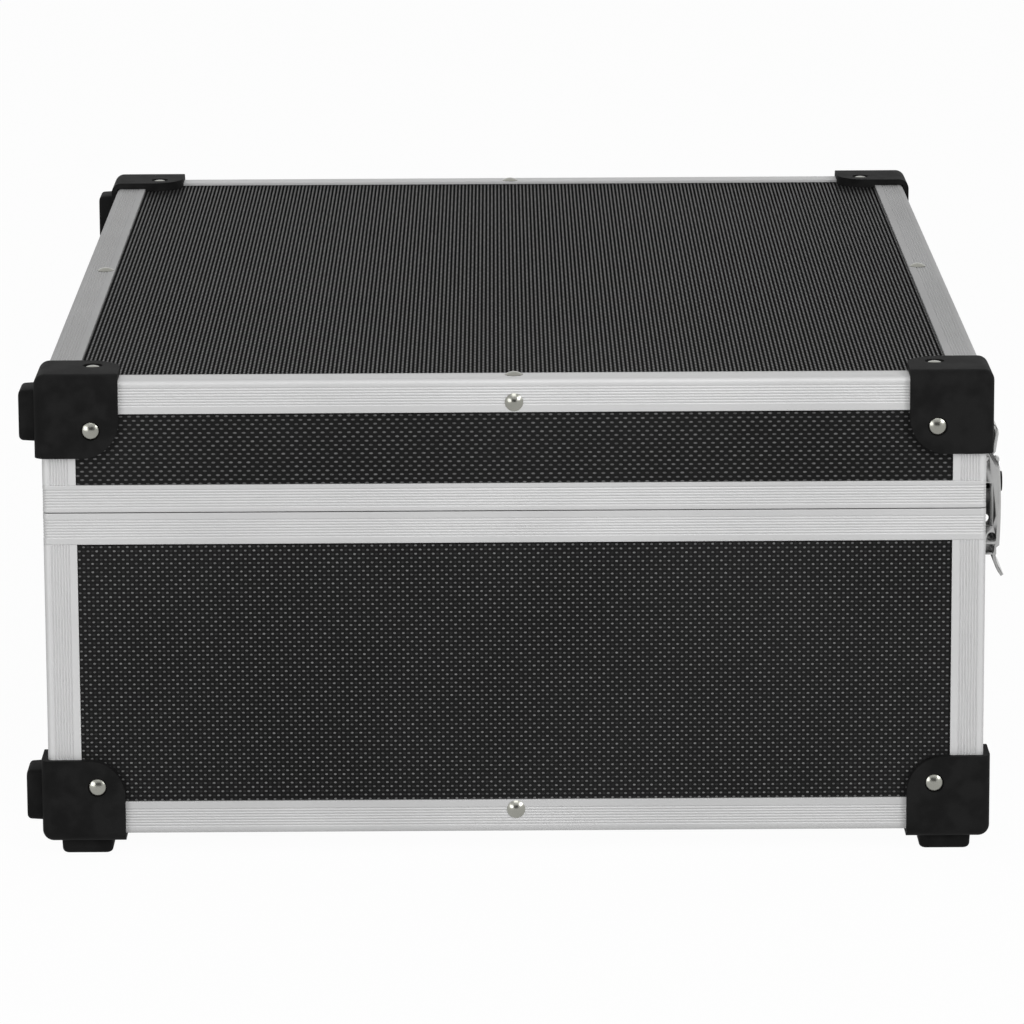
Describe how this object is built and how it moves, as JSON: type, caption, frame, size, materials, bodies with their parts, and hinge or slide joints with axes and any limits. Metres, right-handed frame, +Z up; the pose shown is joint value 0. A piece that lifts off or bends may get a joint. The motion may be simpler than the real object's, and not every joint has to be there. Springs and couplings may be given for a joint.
{
  "type": "tool case",
  "caption": "Hard tool case with an aluminium edge frame, textured dark panels, moulded corner guards, key latches, a carrying handle and a hinged lid held by slotted stays.",
  "frame": {"origin": "centre of the outer box seen from above, on the plane that the four lower feet stand on", "axes": "+Z up, +X to the front with the latches and handle, the case's long side along Y; hinges and back feet at -X"},
  "size_m": [0.3534, 0.4648, 0.1735],
  "materials": {
    "frame": "satin anodised, fine lengthwise grooves",
    "panel": "board with a raised-dot dark plastic skin",
    "guard": "moulded, soft sheen",
    "liner": "matt felt-like foam",
    "steel": "nickel plated",
    "lock": "black face",
    "handle": "moulded, fine grain"
  },
  "bodies": {
    "base": {"bottom_panel": "panel", "base_wall_front": "panel", "base_wall_back": "panel", "base_wall_near": "panel", "base_wall_far": "panel", "bottom_edge_front": "frame", "bottom_edge_back": "frame", "bottom_edge_near": "frame", "bottom_edge_far": "frame", "base_post_near_front": "frame", "base_post_near_back": "frame", "base_post_far_front": "frame", "base_post_far_back": "frame", "base_rim": "frame", "bottom_guard_near_front": "guard", "bottom_guard_far_front": "guard", "bottom_guard_near_back": "guard", "bottom_guard_far_back": "guard", "hinge_base_leaf_near": "steel", "hinge_base_leaf_far": "steel", "stay_stud_near": "steel", "stay_stud_far": "steel", "base_liner": "liner", "latch_base_near": "steel", "latch_base_far": "steel", "handle_bracket_near": "steel", "handle_bracket_far": "steel"},
    "lid": {"lid_panel": "panel", "lid_wall_front": "panel", "lid_wall_back": "panel", "lid_wall_near": "panel", "lid_wall_far": "panel", "top_edge_front": "frame", "top_edge_back": "frame", "top_edge_near": "frame", "top_edge_far": "frame", "lid_post_near_front": "frame", "lid_post_near_back": "frame", "lid_post_far_front": "frame", "lid_post_far_back": "frame", "lid_rim": "frame", "top_guard_near_front": "guard", "top_guard_far_front": "guard", "top_guard_near_back": "guard", "top_guard_far_back": "guard", "hinge_lid_leaf_near": "steel", "hinge_lid_leaf_far": "steel", "lid_liner": "liner", "latch_keeper_near": "steel", "latch_keeper_far": "steel"},
    "stay_near": {"stay_bar_near": "steel"},
    "stay_far": {"stay_bar_far": "steel"},
    "lever_near": {"latch_lever_near": "steel"},
    "lever_far": {"latch_lever_far": "steel"},
    "draw_near": {"latch_draw_near": "steel"},
    "draw_far": {"latch_draw_far": "steel"},
    "lock_near": {"lock_barrel_near": "lock"},
    "lock_far": {"lock_barrel_far": "lock"},
    "handle": {"handle_grip": "handle"}
  },
  "joints": [
    {"name": "lid_hinge", "type": "hinge", "parent": "base", "child": "lid", "pos_m": [-0.17175, 0, 0.1242], "axis": [0, -1, 0], "range_deg": [0, 95]},
    {"name": "stay_near_pivot", "type": "hinge", "parent": "lid", "child": "stay_near", "pos_m": [-0.12575, -0.2215, 0.1402], "axis": [0, -1, 0], "range_deg": [-47.5, 0]},
    {"name": "stay_far_pivot", "type": "hinge", "parent": "lid", "child": "stay_far", "pos_m": [-0.12575, 0.2215, 0.1402], "axis": [0, -1, 0], "range_deg": [-47.5, 0]},
    {"name": "lever_near_pivot", "type": "hinge", "parent": "base", "child": "lever_near", "pos_m": [0.16895, -0.115, 0.122], "axis": [0, -1, 0], "range_deg": [0, 90]},
    {"name": "lever_far_pivot", "type": "hinge", "parent": "base", "child": "lever_far", "pos_m": [0.16895, 0.115, 0.122], "axis": [0, -1, 0], "range_deg": [0, 90]},
    {"name": "draw_near_pivot", "type": "hinge", "parent": "lever_near", "child": "draw_near", "pos_m": [0.1676, -0.115, 0.11564], "axis": [0, -1, 0], "range_deg": [-63, 0]},
    {"name": "draw_far_pivot", "type": "hinge", "parent": "lever_far", "child": "draw_far", "pos_m": [0.1676, 0.115, 0.11564], "axis": [0, -1, 0], "range_deg": [-63, 0]},
    {"name": "lock_near_turn", "type": "hinge", "parent": "lever_near", "child": "lock_near", "pos_m": [0.17445, -0.115, 0.11], "axis": [1, 0, 0], "range_deg": [0, 90]},
    {"name": "lock_far_turn", "type": "hinge", "parent": "lever_far", "child": "lock_far", "pos_m": [0.17445, 0.115, 0.11], "axis": [1, 0, 0], "range_deg": [0, 90]},
    {"name": "handle_swing", "type": "hinge", "parent": "base", "child": "handle", "pos_m": [0.16825, 0, 0.1024], "axis": [0, -1, 0], "range_deg": [0, 90]}
  ],
  "couplings": [
    {"joint": "stay_near_pivot", "follows": "lid_hinge", "ratio": -0.5},
    {"joint": "stay_far_pivot", "follows": "lid_hinge", "ratio": -0.5},
    {"joint": "draw_near_pivot", "follows": "lever_near_pivot", "ratio": -0.7},
    {"joint": "draw_far_pivot", "follows": "lever_far_pivot", "ratio": -0.7}
  ]
}
